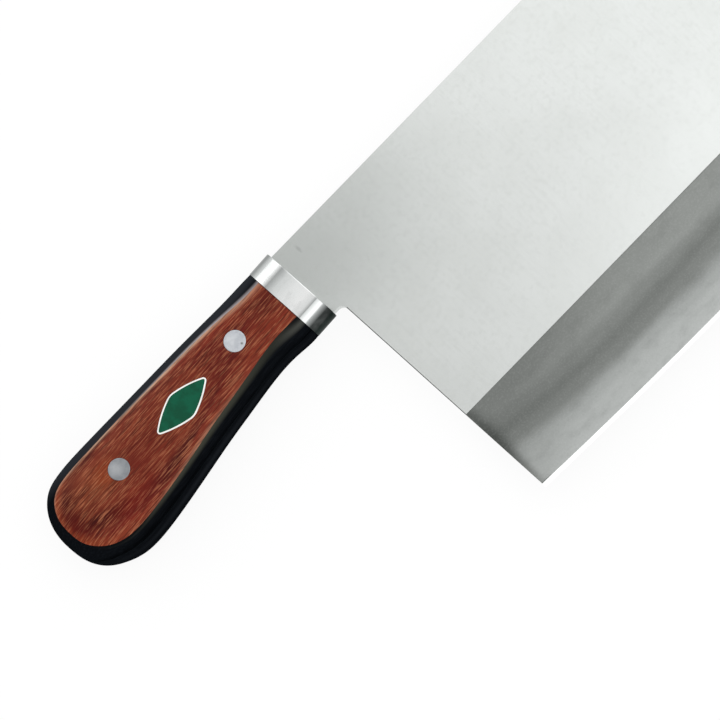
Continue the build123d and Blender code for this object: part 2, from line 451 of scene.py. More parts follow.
@dataclass(frozen=True)
class GroundSteel(Finish):
    """Stainless steel, ground on a wet stone: darker than the flat from its coarser grind, with
    painted reflection in bands, a soft dark band and a lighter one nearer the edge, and painted shade
    at the heel's end."""

    name: str = "stone_ground_stainless_steel"
    metallic: float = 1.0
    roughness: float = 0.42
    axes: Axes = BLADE
    relief: Relief | None = Relief((0.5, 0.5, 4.0), 0.03, 0.05)
    heel_x: float = 0.0
    centre: Triple = (0.0, 0.0, 0.0)
    radius: float = 1.0
    band_height: float = 12.6
    heel_rise: float = 3.0
    heel_reach: float = 25.0
    climb: float = 2.4
    climb_reach: float = 200.0
    wave: Noise = Noise((45.0, 12.0, 10.0), strength=2.0)
    # The bevel's tones by height above the band line, a painted reflection: lighter towards the edge,
    # darkest just above the line.
    plan: Plan = (
        (-16.0, "#b9bcba"), (-6.0, "#aeb1af"), (-3.2, "#a3a6a4"), (2.4, "#7e817e"),
        (5.5, "#757875"), (9.0, "#828582"), (12.5, "#8e918e"), (16.0, "#878a87"), (20.0, "#828582"),
    )

    def ground(self, tree: Tree, where: Node) -> Node:
        """Adds the painted reflection bands, about a line that rises at the heel and climbs to the
        front in waves.

        Args:
            tree: The shader tree.
            where: Coordinates in millimetres.

        Returns:
            The node of the colour.
        """
        along_edge = add(tree, Kind.SPLIT, {0: where}).outputs[0]
        level = add(tree, Kind.VECTOR, {0: where, 1: (1, 1, 0)}, operation="MULTIPLY")
        reach = add(tree, Kind.VECTOR, {0: level, 1: self.centre}, operation="DISTANCE")
        height = add(tree, Kind.MATH, {0: self.radius, 1: reach}, operation="SUBTRACT")
        low, stop = self.band_height + self.wave.strength / 2, self.heel_x + self.heel_reach
        rise = {0: along_edge, 1: self.heel_x, 2: stop, 3: low + self.heel_rise, 4: low}
        rise = add(tree, Kind.RANGE, rise, interpolation_type="SMOOTHSTEP")
        climb = {0: along_edge, 1: stop, 2: stop + self.climb_reach, 4: self.climb}
        line = add(tree, Kind.MATH, {0: rise, 1: add(tree, Kind.RANGE, climb)})
        above = add(tree, Kind.MATH, {0: height, 1: line}, operation="SUBTRACT")
        above = add(tree, Kind.MATH, {0: above, 1: self.wave.share(tree, where)})
        return along(tree, above, self.plan, ease=True)

    def layers(self) -> tuple[Coat, ...]:
        """The coats: a painted highlight along a paler stretch, painted shade at the heel's end, and
        the marks of the grit.

        Returns:
            The coats, the first one lowest.
        """
        heel = self.heel_x
        return (
            # Painted highlight: a paler stretch of the bevel towards the front.
            Patch("#a3a6a3", (62.0, 11.0, 60.0), 0.3, (30.0, -23.0, 0.0)),
            # Painted shade at the heel's end, darkest in a thin line down the heel and a tick at its
            # corner.
            Patch("#575a57", (60.0, 19.0, 60.0), 0.42, (heel + 4.0, -26.0, 0.0)),
            Patch("#7b7e7b", (26.0, 17.0, 60.0), 0.35, (heel - 2.0, -47.0, 0.0)),
            Patch("#343735", (7.0, 18.0, 60.0), 0.5, (heel - 1.5, -33.0, 0.0)),
            Patch("#454845", (3.4, 40.0, 60.0), 0.7, (heel - 0.6, -36.0, 0.0)),
            Patch("#2a2c2b", (5.0, 0.55, 9.0), 0.9, (heel, -52.5, 0.0)),
            Grain("#5f625f", (7.0, 4.0, 4.0), 0.15, 0.45, 0.75),
            Grain("#ffffff", (0.6, 0.6, 4.0), 0.035, 0.45, 0.7),
            Grain("#5f625f", (0.9, 0.9, 4.0), 0.08, 0.5, 0.75),
        )


@dataclass(frozen=True)
class PlainSteel(Finish):
    """Stainless steel in one tone with faint marks, for the honed edge and the sheared heel."""

    metallic: float = 1.0
    axes: Axes = BLADE
    colour: str = "#f6f7f6"
    coats: tuple[Coat, ...] = (Grain("#e6e8e7", (0.7, 0.7, 0.7)),)


@dataclass(frozen=True)
class BuffedSteel(Finish):
    """Stainless steel, buffed, its reflections painted in: a bright cap that greys towards the spine,
    a painted shade line at each edge of its flat, a painted dark reflection down the lower side,
    painted shade at its lower front corner, and faint clouds from the buffing wheel."""

    name: str = "buffed_stainless_steel"
    metallic: float = 1.0
    roughness: float = 0.16
    # Tones across the cap, a painted reflection: bright flat and shoulders, painted shade lines at
    # the flat's edges, greying to the spine and dark down the lower side.
    plan: Plan = (
        (-13.6, "#3a3d3c"), (-12.1, "#3c3f3e"), (-11.0, "#b0b3b2"), (-10.3, "#d9dbda"),
        (-9.7, "#d8dad9"), (-8.4, "#abaead"), (-7.4, "#e9ebea"), (-5.0, "#fbfcfb"),
        (-1.0, "#f4f6f5"), (3.1, "#dfe2e1"), (5.5, "#aeb1b0"), (6.5, "#e8eae9"), (8.2, "#e0e2e1"),
        (10.2, "#d0d3d2"), (11.6, "#929594"), (13.6, "#484b4a"),
    )
    # The gloss's tint, darker towards both rims: painted shade.
    rim: Plan = (
        (-13.6, "#b4b7b6"), (-12.4, "#7a7d7c"), (-10.8, "#7a7d7c"), (-10.0, "#ffffff"),
        (12.6, "#ffffff"), (13.0, "#8c8f8e"),
    )
    coats: tuple[Coat, ...] = (
        Grain("#9a9d9c", (5.0, 3.0, 3.0), 0.12, 0.45, 0.7),
        # Painted shade at the cap's lower front corner.
        Patch("#1c1e1e", (9.0, 3.0, 9.0), 0.45, (1.0, -12.8, 2.0)),
    )

    def ground(self, tree: Tree, where: Node) -> Node:
        """The tones across the cap: a painted reflection."""
        return along(tree, add(tree, Kind.SPLIT, {0: where}).outputs[1], self.plan)

    def inputs(self, tree: Tree, where: Node) -> Fed:
        """The coated tones, and the tint that darkens the gloss towards the cap's two rims as painted
        shade.
        """
        across = add(tree, Kind.SPLIT, {0: where}).outputs[1]
        return {**super().inputs(tree, where), "Specular Tint": along(tree, across, self.rim)}


@dataclass(frozen=True)
class BuffedAluminium(Finish):
    """Aluminium, filed flush and buffed with the wood: a soft grey sheen with faint rings and
    clouds, a painted highlight off its centre, and a dark mark where there is one."""

    metallic: float = 1.0
    roughness: float = 0.36
    shade: str = "#c9cdd4"
    centre: tuple[float, float] = (0.0, 0.0)
    dark_mark: tuple[float, float] | None = None
    highlight_spot: tuple[float, float] = (-0.8, 0.9)
    ring_turn: float = 14.0
    ring_strength: float = 0.08

    def ground(self, tree: Tree, where: Node) -> Node:
        """Adds the colour with its rings, which follow a sine of the radius.

        Args:
            tree: The shader tree.
            where: Coordinates in millimetres.

        Returns:
            The node of the colour.
        """
        flat = add(tree, Kind.VECTOR, {0: where, 1: (1, 1, 0)}, operation="MULTIPLY")
        radius = add(tree, Kind.VECTOR, {0: flat, 1: (*self.centre, 0.0)}, operation="DISTANCE")
        wave = add(tree, Kind.MATH, {0: radius, 1: self.ring_turn}, operation="MULTIPLY")
        sine = add(tree, Kind.MATH, {0: wave}, operation="SINE")
        rings = {0: sine, 1: self.ring_strength, 2: self.ring_strength}
        share = add(tree, Kind.MATH, rings, operation="MULTIPLY_ADD")
        return add(tree, Kind.MIX, {0: share, 6: self.colour, 7: self.shade}, data_type="RGBA")

    def layers(self) -> tuple[Coat, ...]:
        """The coats: clouds, the painted highlight and the dark mark.

        Returns:
            The coats, the first one lowest.
        """
        coats = [Grain(self.shade, (1.8, 1.8, 1.8), 0.8)]
        for offset, colour, width, strength in (
            # A lighter patch off the centre: a painted highlight.
            (self.highlight_spot, "#e4e6e8", 3.4, 0.3),
            # A small dark patch, on the front rivet only.
            (self.dark_mark, "#5c5f58", 0.62, 0.85),
        ):
            if offset:
                place = (self.centre[0] + offset[0], self.centre[1] + offset[1], 8.0)
                coats.append(Patch(colour, (width, width, 40.0), strength, place))
        return tuple(coats)


@dataclass(frozen=True)
class RedLaminate(Finish):
    """Birch veneers dyed red and pressed with resin: fine streaks along the handle, broad dark and
    light contours where the rounding cuts the veneers, a dark red ring at the butt, a painted
    highlight and a painted sheen along the face's two edges, and painted shade at the joint with the
    cap."""

    name: str = "red_resin_laminated_birch"
    roughness: float = 0.38
    gloss: float = 0.1
    drift: Noise = Noise((26.0, 6.0, 90.0), 0.25, 0.75, 0.5)
    joint: tuple[float, float] = (-8.45, -8.05)
    joint_shade_colour: str = "#160b09"
    joint_shade_strength: float = 0.8
    veneers: Plan = (
        (8.0, "#7c2f1d"), (8.7, "#762b1b"), (9.1, "#6e2518"), (9.35, "#5e1a12"), (9.6, "#5e1a12"),
        (9.95, "#702e1e"), (10.2, "#6e2c1c"), (10.45, "#652317"), (10.7, "#6c2b1b"),
    )
    coats: tuple[Coat, ...] = (
        Patch("#98441f", (30.0, 24.0, 1.3), 0.6, (-92.0, 0.0, 8.2)),
        Patch("#400705", (28.5, 14.8, 40.0), 0.95, (-72.0, 1.8, 8.0), 0.84),
        Patch("#6f291a", (31.0, 11.3, 40.0), 1.0, (-66.0, 1.8, 8.0), 0.78),
        Patch("#4a130d", (11.0, 7.0, 40.0), 0.75, (-11.5, 3.0, 8.0)),
        Patch("#4e140d", (14.0, 7.0, 40.0), 0.5, (-65.0, 0.5, 8.0)),
        Patch("#47221a", (8.0, 4.0, 40.0), 0.55, (-9.5, -8.6, 8.0)),
        Patch("#703c25", (16.0, 8.0, 40.0), 0.6, (-84.0, 3.0, 8.0)),
        Patch("#963f1a", (8.0, 6.0, 40.0), 0.5, (-80.0, 3.5, 8.0)),
        # Painted highlight along the face's spine-side edge.
        Patch("#c29c82", (80.0, 16.0, 0.6), 0.9, (-45.0, 15.0, 8.0), 0.3),
        # Painted sheen along the face's edge-side rim.
        Patch("#a08068", (34.0, 14.0, 0.6), 0.55, (-54.0, -14.0, 8.0), 0.1),
        Grain("#44110a", (16.0, 1.1, 6.0), 0.35, 0.5, 0.7, 3.0),
        Grain("#904529", (12.0, 0.8, 5.0), 0.35, 0.5, 0.72, 3.0),
        Grain("#b97552", (5.4, 0.29, 2.4), 0.5, 0.49, 0.64),
        Grain("#2a0704", (6.4, 0.33, 3.0), 0.52, 0.48, 0.64),
        Patch("#500503", (5.5, 9.0, 40.0), 0.66, (-97.0, 0.0, 8.0)),
        Patch("#7e1c10", (18.0, 5.0, 40.0), 0.42, (-80.0, -9.0, 8.0)),
        Patch("#641c12", (10.0, 9.0, 40.0), 0.55, (-69.5, -1.0, 8.0)),
        Patch("#8e4229", (9.0, 4.5, 40.0), 0.35, (-87.0, 9.4, 8.0)),
    )
    relief: Relief | None = Relief((5.5, 0.42, 2.0), 0.03, 0.15)

    def ground(self, tree: Tree, where: Node) -> Node:
        """Adds the veneers by depth, which drifts a little along the handle."""
        depth = {0: add(tree, Kind.SPLIT, {0: where}).outputs[2], 1: self.drift.share(tree, where)}
        return along(tree, add(tree, Kind.MATH, depth), self.veneers)

    def inputs(self, tree: Tree, where: Node) -> Fed:
        """What the shader is fed with: the coated veneers, darker in the joint with the cap, painted
        shade of the step there over darker end grain.

        Args:
            tree: The shader tree.
            where: Coordinates in millimetres.

        Returns:
            Nodes by the name of the shader's input.
        """
        fed = super().inputs(tree, where)
        # The dark band at the joint with the cap: painted shade of the step, over darker end grain.
        start, stop = self.joint
        place = add(tree, Kind.SPLIT, {0: where}).outputs[0]
        limits = {0: place, 1: start, 2: stop, 4: self.joint_shade_strength}
        colours = {0: add(tree, Kind.RANGE, limits), 6: fed["Base Color"], 7: self.joint_shade_colour}
        return {**fed, "Base Color": add(tree, Kind.MIX, colours, data_type="RGBA")}


@dataclass(frozen=True)
class BlackLaminate(Finish):
    """Birch veneers dyed black and pressed with resin, buffed, shown without gloss: near black, with
    a painted sheen that greys its sides, a painted highlight along the glue joint on the spine side
    and a painted grey sheen along the one on the edge side."""

    name: str = "black_resin_laminated_birch"
    roughness: float = 0.4
    gloss: float = 0.0
    colour: str = "#0b0d10"
    coats: tuple[Coat, ...] = (
        Grain("#13161a", (9.0, 0.5, 0.4), 0.8, 0.45, 0.7),
        # Painted sheen that greys the spine-side rim.
        Patch("#282a2e", (80.0, 9.0, 60.0), 1.0, (-37.0, 16.5, 0.0), 0.62),
        # Painted highlight along the glue joint on the spine side.
        Patch("#aca4a6", (58.0, 16.0, 0.6), 1.0, (-24.0, 15.0, 8.1), 0.2),
        # Painted grey sheen along the glue joint on the edge side, brighter by the cap.
        Patch("#48493f", (75.0, 18.0, 1.55), 0.95, (-40.0, -17.0, 8.05)),
        Patch("#5e5f5a", (16.0, 18.0, 1.05), 0.55, (-7.0, -14.0, 7.4)),
        # The base black again just below the joint by the cap and by the butt: a dark gap in the
        # painted sheen.
        Patch("#0b0d10", (15.0, 18.0, 0.9), 0.95, (-5.0, -14.0, 8.1), 0.4),
        Patch("#0b0d10", (15.0, 14.0, 0.8), 0.9, (-90.0, -13.0, 8.1), 0.4),
        # Painted sheen that greys the edge-side rim.
        Patch("#1e2125", (80.0, 9.0, 3.4), 0.8, (-40.0, -17.0, 0.0)),
    )
    relief: Relief | None = Relief((9.0, 0.5, 0.4), 0.02, 0.05)


@dataclass(frozen=True)
class PrintedFilm(Finish):
    """Vinyl film, printed: one colour, faintly clouded, under a clear gloss."""

    roughness: float = 0.32
    gloss: float = 0.15
    colour: str = "#04543b"
    coats: tuple[Coat, ...] = (Grain("#034831", (3.0, 3.0, 3.0)),)


# Blade


class SteelArea(Enum):
    """Where on the blade a face lies, which is also its material slot."""

    FLAT = 0
    BEVEL = 1
    EDGE = 2
    HEEL = 3


@dataclass
class Blade:
    """The blade with its neck and tang, cleaned of loose triangles and eased along its outline."""

    length: float = 220.0
    heel_height: float = 108.2
    tip_height: float = 105.0
    belly_share: float = 0.36
    bevel_height: float = 34.0
    honed_height: float = 1.0
    honed_slack: float = 1.05
    apex_share: float = 0.1
    heel_depth: float = 2.0
    heel_top: float = 27.3
    flat_up: float = 0.99999
    bevel_up: float = 0.999
    honed_up: float = 0.9
    spine_round: float = 0.4
    heel_round: float = 0.2
    round_steps: int = 4
    square_angle: float = 60.0
    crease_angle: float = 32.0
    flat_angle: float = 0.05
    weld: float = 0.002
    slack: float = 0.01
    neck_slack: float = 0.2
    neck_gap: float = 0.3
    face_weight: int = 100

    @cached_property
    def corners(self) -> tuple[Vector, Vector, Vector]:
        """The heel corner, the lowest point of the edge and the front corner, in millimetres.

        Returns:
            The three points.
        """
        low, high = (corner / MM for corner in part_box("blade"))
        heel_x = high.x - self.length
        return (
            Vector((heel_x, high.y - self.heel_height)),
            Vector((heel_x + self.length * self.belly_share, low.y)),
            Vector((high.x, high.y - self.tip_height)),
        )

    @cached_property
    def arc(self) -> tuple[Vector, float]:
        """The cutting edge's arc, which runs through the three corners, in millimetres.

        Returns:
            Its centre and its radius.
        """
        a, b, c = self.corners
        spans = (b - c, c - a, a - b)
        cross = 2 * sum(point.x * span.y for point, span in zip((a, b, c), spans))
        squares = [point.length_squared for point in (a, b, c)]
        x = sum(square * span.y for square, span in zip(squares, spans)) / cross
        y = -sum(square * span.x for square, span in zip(squares, spans)) / cross
        centre = Vector((x, y))
        return centre, (a - centre).length

    def outline_edges(self, body: bmesh.types.BMesh) -> tuple[list, list]:
        """Finds the square corners of the outline above the bevel.

        Args:
            body: The merged blade.

        Returns:
            The edges of spine and front end, then those of heel and neck.
        """
        low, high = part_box("blade")
        grind = low.y + self.bevel_height * MM
        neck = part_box("ferrule")[1].x
        slack = self.slack * MM
        spine, heel = [], []
        for edge in body.edges:
            square = edge.calc_face_angle(0.0) >= math.radians(self.square_angle)
            if len(edge.link_faces) != 2 or not square:
                continue
            one, two = (vert.co for vert in edge.verts)
            level = abs(one.z - two.z) <= slack and min(one.y, two.y) >= grind - slack
            if not level or min(one.x, two.x) < neck - self.neck_slack * MM:
                continue
            middle = (one + two) / 2
            if middle.x > 0 or middle.y > high.y - slack:
                spine.append(edge)
            elif middle.x > neck + self.neck_gap * MM:
                heel.append(edge)
        return spine, heel

    def area(self, face: bmesh.types.BMFace) -> SteelArea:
        """Says which finish a face gets.

        Args:
            face: A face of the blade.

        Returns:
            The area that the face lies in.
        """
        centre, radius = self.arc
        middle = face.calc_center_median() / MM
        up = abs(face.normal.z)
        height = radius - (middle.xy - centre).length
        if up > self.flat_up:
            return SteelArea.FLAT
        if up > self.bevel_up:
            return SteelArea.BEVEL
        honed = up > self.honed_up and height < self.honed_height * self.honed_slack
        if honed or height < self.honed_height * self.apex_share:
            return SteelArea.EDGE
        if middle.x < self.corners[0].x + self.heel_depth and middle.y < self.heel_top:
            return SteelArea.HEEL
        return SteelArea.FLAT

    def build(self) -> bpy.types.Object:
        """Makes the blade's mesh and gives it its finishes.

        Returns:
            The blade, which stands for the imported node.
        """
        body = bmesh.new()
        body.from_mesh(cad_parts["blade"].data)
        bmesh.ops.remove_doubles(body, verts=body.verts, dist=self.weld * MM)
        bmesh.ops.dissolve_limit(
            body, angle_limit=math.radians(self.flat_angle), verts=body.verts, edges=body.edges
        )
        spine, heel = self.outline_edges(body)
        for edges, size in ((spine, self.spine_round), (heel, self.heel_round)):
            bmesh.ops.bevel(
                body,
                geom=[edge for edge in edges if edge.is_valid],
                offset=size * MM,
                segments=self.round_steps,
                profile=0.5,
                affect="EDGES",
                clamp_overlap=True,
            )
        body.normal_update()
        areas = {face: self.area(face) for face in body.faces}
        for face, area in areas.items():
            face.material_index = area.value
            face.smooth = True
        for edge in body.edges:
            kinds = {areas[face] for face in edge.link_faces}
            crease = edge.calc_face_angle(0.0) > math.radians(self.crease_angle)
            meet = len(kinds) > 1 and bool(kinds & {SteelArea.BEVEL, SteelArea.EDGE})
            edge.smooth = not (crease or meet)
        mesh = bpy.data.meshes.new("blade_polished")
        body.to_mesh(mesh)
        body.free()
        for finish in self.finishes():
            mesh.materials.append(finish.material())
        thing = new_object("blade_polished", mesh)
        weigh = thing.modifiers.new("weigh", "WEIGHTED_NORMAL")
        weigh.keep_sharp = True
        weigh.weight = self.face_weight
        settle(thing)
        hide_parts("blade")
        return thing

    def finishes(self) -> tuple[Finish, ...]:
        """The blade's finishes.

        Returns:
            The finishes in the order of SteelArea.
        """
        heel_x = self.corners[0].x
        centre, radius = self.arc
        marks = (Grain("#272a29", (0.7, 0.7, 0.7)),)
        return (
            SatinSteel(),
            GroundSteel(heel_x=heel_x, centre=(centre.x, centre.y, 0.0), radius=radius),
            PlainSteel("honed_stainless_steel", roughness=0.2),
            # The heel's face and eased edge are darkened to a near-black line: painted shade, on its
            # rougher sheared finish.
            PlainSteel("sheared_stainless_steel", roughness=0.45, colour="#3c3f3e", coats=marks),
        )


# Rivets


class Side(Enum):
    """Which way a rivet half faces: out of the handle's front or its back."""

    FRONT = 1
    BACK = -1


@dataclass
class Rivet:
    """One half of a rivet: a flush head with an eased rim that follows the wood, and its shank."""

    node: str
    side: Side
    centre: tuple[float, float]
    shank_diameter: float
    shank_end: float
    shank_sides: int = 48
    head_diameter: float = 6.8
    head_sides: int = 72
    head_rings: int = 9
    crowding: float = 2.2
    rim_round: float = 0.16
    seat: float = 7.0
    ray_reach: float = 0.985
    ray_start: float = 100.0
    crease_angle: float = 40.0

    def values(self, finish: bpy.types.Material) -> dict[str, tuple[str, object]]:
        """The tree's inputs, in metres.

        Args:
            finish: The metal's material.

        Returns:
            By each input's name, its kind of socket and its value.
        """
        return {
            "Packed Head": ("Object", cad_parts[self.node]),
            "Place": ("Vector", HANDLE.matrix() @ Vector((*self.centre, 0.0))),
            "Side": ("Float", float(self.side.value)),
            "Head Radius": ("Float", self.head_diameter / 2 * MM),
            "Rim Round": ("Float", self.rim_round * MM),
            "Seat Height": ("Float", self.seat * MM),
            "Shank Radius": ("Float", self.shank_diameter / 2 * MM),
            "Shank End": ("Float", self.shank_end * MM),
            "Finish": ("Material", finish),
        }

    def tree(self, values: dict[str, tuple[str, object]]) -> Tree:
        """Builds the geometry tree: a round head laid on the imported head's surface, with its shank.

        Args:
            values: What values() gives.

        Returns:
            The tree, whose inputs are named after the values.
        """
        tree = bpy.data.node_groups.new("rivet_half", "GeometryNodeTree")
        for name, (kind, _) in {"Geometry": ("Geometry", None), **values}.items():
            tree.interface.new_socket(name, in_out="INPUT", socket_type=f"NodeSocket{kind}")
        tree.interface.new_socket("Geometry", in_out="OUTPUT", socket_type="NodeSocketGeometry")
        given = add(tree, Kind.GIVEN).outputs
        joined = add(tree, Kind.JOIN_MESHES)
        for piece in (self.head(tree, given), self.shank(tree, given)):
            feed(tree, joined, {0: piece})
        dressed = {0: add(tree, Kind.REALIZE, {0: joined}), "Material": given["Finish"]}
        add(tree, Kind.MADE, {0: add(tree, Kind.SET_MATERIAL, dressed)})
        return tree

    def head(self, tree: Tree, given: bpy.types.NodeOutputs) -> Node:
        """Adds the head: a fine disc, its rings crowded towards an eased rim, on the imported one.

        Args:
            tree: The geometry tree.
            given: The tree's inputs.

        Returns:
            The node of the head's mesh.
        """
        sides, rings = self.head_sides, self.head_rings
        disc = {"Vertices": sides, "Fill Segments": rings, "Radius": 1.0, "Depth": 2.0}
        spread = {
            "Points": add(tree, Kind.POINTS, {"Count": 1, "Position": given["Place"]}),
            "Instance": add(tree, Kind.CYLINDER, disc),
        }
        blank = add(tree, Kind.REALIZE, {0: add(tree, Kind.INSTANCES, spread)})
        here = add(tree, Kind.POSITION)
        local = add(tree, Kind.VECTOR, {0: here, 1: given["Place"]}, operation="SUBTRACT")
        parts = add(tree, Kind.SPLIT, {0: local}).outputs
        flat = add(tree, Kind.JOIN, {0: parts[0], 1: parts[1]})
        reach = add(tree, Kind.VECTOR, {0: flat}, operation="LENGTH")
        inward = add(tree, Kind.MATH, {0: 1.0, 1: reach}, operation="SUBTRACT", use_clamp=True)
        crowd = add(tree, Kind.MATH, {0: inward, 1: self.crowding}, operation="POWER")
        dense = add(tree, Kind.MATH, {0: 1.0, 1: crowd}, operation="SUBTRACT")
        rim = {0: given["Rim Round"], 1: given["Head Radius"]}
        rim = add(tree, Kind.MATH, rim, operation="DIVIDE")
        over = add(tree, Kind.MATH, {0: rim, 1: crowd}, operation="SUBTRACT")
        turn = add(tree, Kind.MATH, {0: over, 1: rim}, operation="DIVIDE", use_clamp=True)
        angle = add(tree, Kind.MATH, {0: turn}, operation="ARCSINE")
        level = add(tree, Kind.MATH, {0: angle}, operation="COSINE")
        fall = add(tree, Kind.MATH, {0: 1.0, 1: level}, operation="SUBTRACT")
        drop = add(tree, Kind.MATH, {0: fall, 1: given["Rim Round"]}, operation="MULTIPLY")
        out = add(tree, Kind.VECTOR, {0: flat}, operation="NORMALIZE")
        size = add(tree, Kind.MATH, {0: dense, 1: given["Head Radius"]}, operation="MULTIPLY")
        offset = add(tree, Kind.VECTOR, {0: out, "Scale": size}, operation="SCALE")
        sample = add(tree, Kind.VECTOR, {0: offset, "Scale": self.ray_reach}, operation="SCALE")
        beside = add(tree, Kind.VECTOR, {0: given["Place"], 1: sample}, operation="ADD")
        start = {0: given["Side"], 1: self.ray_start * MM}
        start = add(tree, Kind.JOIN, {2: add(tree, Kind.MATH, start, operation="MULTIPLY")})
        aim = add(tree, Kind.MATH, {0: given["Side"], 1: -1.0}, operation="MULTIPLY")
        packed = add(tree, Kind.OBJECT, {0: given["Packed Head"]})
        ray = {
            "Target Geometry": packed.outputs["Geometry"],
            "Source Position": add(tree, Kind.VECTOR, {0: beside, 1: start}, operation="ADD"),
            "Ray Direction": add(tree, Kind.JOIN, {2: aim}),
            "Ray Length": 1.0,
        }
        hit = add(tree, Kind.RAYCAST, ray).outputs["Hit Position"]
        eased = add(tree, Kind.MATH, {0: drop, 1: given["Side"]}, operation="MULTIPLY")
        top = {0: add(tree, Kind.SPLIT, {0: hit}).outputs[2], 1: eased}
        top = add(tree, Kind.MATH, top, operation="SUBTRACT")
        outward = add(tree, Kind.MATH, {0: parts[2], 1: given["Side"]}, operation="MULTIPLY")
        is_top = add(tree, Kind.MATH, {0: outward, 1: 0.0}, operation="GREATER_THAN")
        middle = add(tree, Kind.SPLIT, {0: given["Place"]}).outputs[2]
        seat = {0: given["Seat Height"], 1: given["Side"], 2: middle}
        seat = add(tree, Kind.MATH, seat, operation="MULTIPLY_ADD")
        height = add(tree, Kind.MIX, {0: is_top, 2: seat, 3: top})
        final = add(tree, Kind.VECTOR, {0: given["Place"], 1: offset}, operation="ADD")
        final = add(tree, Kind.SPLIT, {0: final}).outputs
        final = add(tree, Kind.JOIN, {0: final[0], 1: final[1], 2: height})
        return add(tree, Kind.SET_POSITION, {0: blank, "Position": final})

    def shank(self, tree: Tree, given: bpy.types.NodeOutputs) -> Node:
        """Adds the shank, from the head's seat to its end.

        Args:
            tree: The geometry tree.
            given: The tree's inputs.

        Returns:
            The node of the shank's mesh.
        """
        ends = {0: given["Seat Height"], 1: given["Shank End"]}
        bar = {
            "Vertices": self.shank_sides,
            "Radius": given["Shank Radius"],
            "Depth": add(tree, Kind.MATH, ends, operation="SUBTRACT"),
        }
        middle = add(tree, Kind.MATH, {0: add(tree, Kind.MATH, ends), 1: 0.5}, operation="MULTIPLY")
        lift = add(tree, Kind.MATH, {0: middle, 1: given["Side"]}, operation="MULTIPLY")
        lift = {0: add(tree, Kind.JOIN, {2: lift}), 1: given["Place"]}
        moved = {0: add(tree, Kind.CYLINDER, bar), "Translation": add(tree, Kind.VECTOR, lift)}
        return add(tree, Kind.TRANSFORM, moved)

    def build(self, finish: bpy.types.Material) -> bpy.types.Object:
        """Makes this half from the tree.

        Args:
            finish: The metal's material.

        Returns:
            The half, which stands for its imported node.
        """
        values = self.values(finish)
        tree = self.tree(values)
        thing = new_object(f"{self.node}_buffed", bpy.data.meshes.new(self.node))
        modifier = thing.modifiers.new("rivet", "NODES")
        modifier.node_group = tree
        for item in tree.interface.items_tree:
            if item.in_out == "INPUT" and item.name in values:
                modifier[item.identifier] = values[item.name][1]
        settle(thing)
        body = bmesh.new()
        body.from_mesh(thing.data)
        bmesh.ops.recalc_face_normals(body, faces=body.faces)
        for face in body.faces:
            face.smooth = True
        for edge in body.edges:
            edge.smooth = edge.calc_face_angle(0.0) < math.radians(self.crease_angle)
        body.to_mesh(thing.data)
        body.free()
        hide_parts(self.node)
        return thing


# Handle


@dataclass
class Handle:
    """The wooden handle: black core, red faces, steel cap and two rivets in two halves each."""

    front_rivet: float = 25.6
    rear_rivet: float = 76.2
    rivet_rise: float = 1.35
    barrel_diameter: float = 4.6
    barrel_end: float = -6.6
    stud_diameter: float = 3.0
    stud_end: float = -6.2

    def dress(self) -> None:
        """Gives the cap, the core and the faces their finishes."""
        red = RedLaminate().material()
        for node, material in (
            ("ferrule", BuffedSteel().material()),
            ("handle_core", BlackLaminate().material()),
            ("front_face_wood", red),
            ("back_face_wood", red),
        ):
            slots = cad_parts[node].data.materials
            slots.clear()
            slots.append(material)
            log.info("%s: %s", node, material.name)

    def rivets(self) -> list[bpy.types.Object]:
        """Makes the four rivet halves.

        Returns:
            The halves, front rivet first.
        """
        made = []
        for name, place, colour, shade, dark_mark in (
            ("front", self.front_rivet, "#c6c9ce", "#b2b6bc", (0.9, -2.1)),
            ("rear", self.rear_rivet, "#989b9f", "#888b8f", None),
        ):
            centre = (-place, self.rivet_rise)
            finish = BuffedAluminium(
                f"{name}_buffed_aluminium", colour=colour, shade=shade, centre=centre, dark_mark=dark_mark
            ).material()
            for part, side, diameter, end in (
                ("socket", Side.FRONT, self.barrel_diameter, self.barrel_end),
                ("stud", Side.BACK, self.stud_diameter, self.stud_end),
            ):
                half = Rivet(f"{name}_rivet_{part}", side, centre, diameter, end)
                made.append(half.build(finish))
        return made


